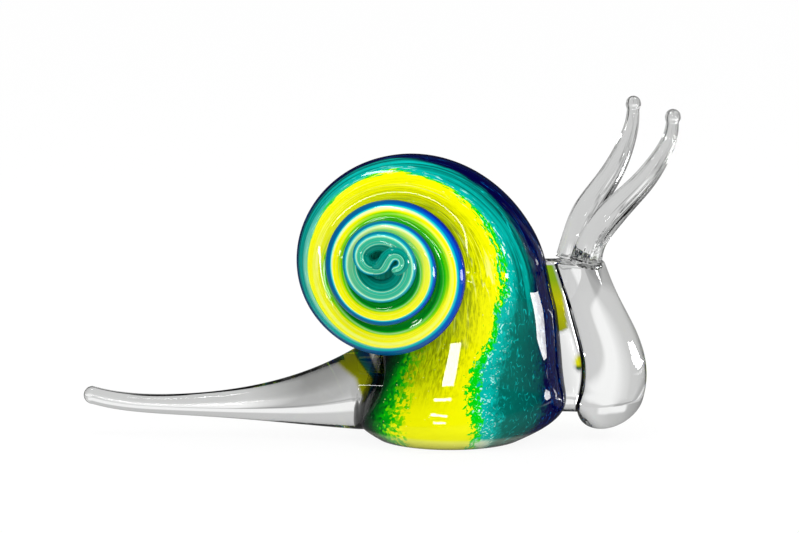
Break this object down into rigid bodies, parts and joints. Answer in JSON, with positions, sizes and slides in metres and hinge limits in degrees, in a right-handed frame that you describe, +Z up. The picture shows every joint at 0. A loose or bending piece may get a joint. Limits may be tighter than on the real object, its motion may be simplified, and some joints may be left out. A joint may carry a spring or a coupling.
{
  "type": "snail figurine",
  "caption": "Hand-worked glass snail ornament: a coiled, cased shell in bands of colour on a ground flat foot, with a clear drawn-out tail and a clear head with drawn tentacles.",
  "frame": {"origin": "middle of the ground flat foot, on the surface that the snail stands on", "axes": "+X from the foot towards the head, along the snail's length; +Z up; the coil of the shell comes forward towards -Y"},
  "size_m": [0.2401, 0.091, 0.1385],
  "materials": {
    "core_glass": "solid coloured glass, polished by the fire",
    "coloured_glass": "opaque frit in bands of navy, teal, yellow and green along the rope, with streaks and flecks",
    "casing_glass": "clear, fire-polished, ground flat underneath",
    "clear_glass": "clear, fire-polished, with small bubbles"
  },
  "bodies": {
    "root": {"core_gather": "core_glass", "colour_layer": "coloured_glass", "clear_casing": "casing_glass", "tail": "clear_glass", "head": "clear_glass", "left_tentacle": "clear_glass", "right_tentacle": "clear_glass"}
  },
  "joints": []
}
